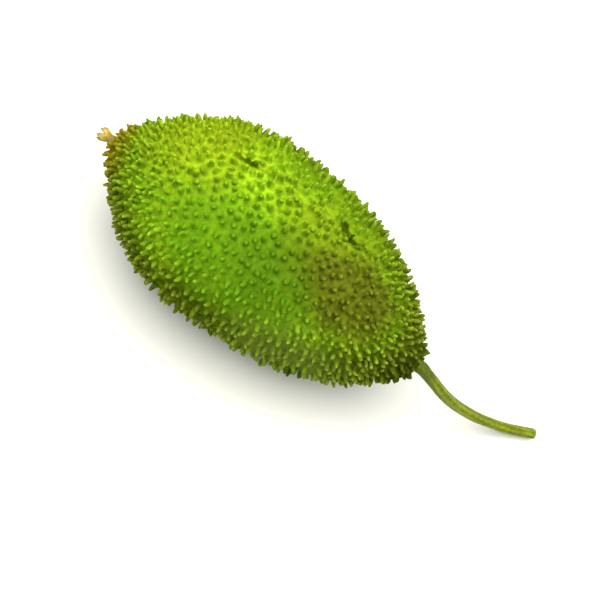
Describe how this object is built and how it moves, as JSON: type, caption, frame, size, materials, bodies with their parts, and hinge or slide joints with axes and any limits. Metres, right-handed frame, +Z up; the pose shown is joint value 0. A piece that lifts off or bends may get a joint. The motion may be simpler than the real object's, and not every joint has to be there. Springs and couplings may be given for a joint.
{
  "type": "spiny gourd",
  "caption": "Spindle-shaped spiny gourd lying on its side, its skin covered in short soft spines, with a bent cut stem and a withered flower at its tip.",
  "frame": {"origin": "on the flattened tip of the lowest middle spine, on the surface that the fruit lies on", "axes": "+X along the fruit towards the stem, +Z up, away from the surface"},
  "size_m": [0.092, 0.0353, 0.0337],
  "materials": {
    "fruit_skin": "satin, fleshy, bright yellow-green with darker green spines",
    "stem_skin": "matt, fibrous, olive green",
    "dry_petal": "matt, papery, straw brown"
  },
  "bodies": {
    "root": {"fruit": "fruit_skin", "stem": "stem_skin", "dried_flower": "dry_petal"}
  },
  "joints": []
}
